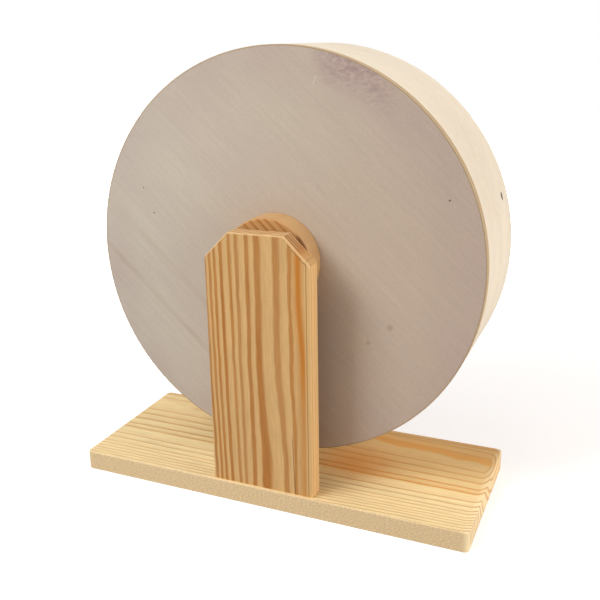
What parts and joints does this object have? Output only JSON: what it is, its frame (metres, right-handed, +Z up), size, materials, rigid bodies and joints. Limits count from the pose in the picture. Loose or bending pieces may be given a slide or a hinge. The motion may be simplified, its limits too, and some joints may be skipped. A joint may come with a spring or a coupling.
{
  "type": "rodent exercise wheel",
  "caption": "Wooden drum, closed on one side, that turns on ball bearings on one upright board and a flat base; a small rodent runs inside it.",
  "frame": {"origin": "middle of the base board's underside", "axes": "+Z up, +X along the base board, +Y from the upright board through the hub into the drum, towards the drum's open side"},
  "size_m": [0.29, 0.1261, 0.31],
  "materials": {
    "pine_board": "planed, unfinished pine with reddish growth rings",
    "pine_hub": "turned, unfinished pine",
    "disc_plywood": "sanded, unfinished plywood, grey beige",
    "band_plywood": "thin bent plywood, pale cream",
    "cork": "fine agglomerated cork",
    "turned_beech": "turned, unfinished beech",
    "zinc_steel": "bright zinc plated",
    "brass_insert": "turned",
    "bare_aluminium": "turned",
    "bearing_steel": "ground",
    "pressed_steel": "pressed sheet"
  },
  "bodies": {
    "stand": {"base_board": "pine_board", "upright_post": "pine_board", "post_screws": "zinc_steel", "threaded_insert": "brass_insert", "axle_bolt": "zinc_steel", "axle_washers": "zinc_steel", "spacer_sleeve": "bare_aluminium", "post_bearing_inner_ring": "bearing_steel", "disc_bearing_inner_ring": "bearing_steel"},
    "wheel": {"hub_block": "pine_hub", "back_disc": "disc_plywood", "rim_band": "band_plywood", "cork_lining": "cork", "hub_screws": "zinc_steel", "axle_cap": "turned_beech", "post_bearing_outer_ring": "bearing_steel", "post_bearing_shields": "pressed_steel", "disc_bearing_outer_ring": "bearing_steel", "disc_bearing_shields": "pressed_steel"},
    "ball_train": {"post_bearing_balls": "bearing_steel", "post_bearing_cage": "pressed_steel", "disc_bearing_balls": "bearing_steel", "disc_bearing_cage": "pressed_steel"}
  },
  "joints": [
    {"name": "wheel_spin", "type": "hinge", "parent": "stand", "child": "wheel", "pos_m": [0.0025, 0.0241, 0.17], "axis": [0, 1, 0], "continuous": true},
    {"name": "ball_train_spin", "type": "hinge", "parent": "stand", "child": "ball_train", "pos_m": [0.0025, 0.0241, 0.17], "axis": [0, 1, 0], "continuous": true}
  ],
  "couplings": [
    {"joint": "ball_train_spin", "follows": "wheel_spin", "ratio": 0.6323}
  ]
}
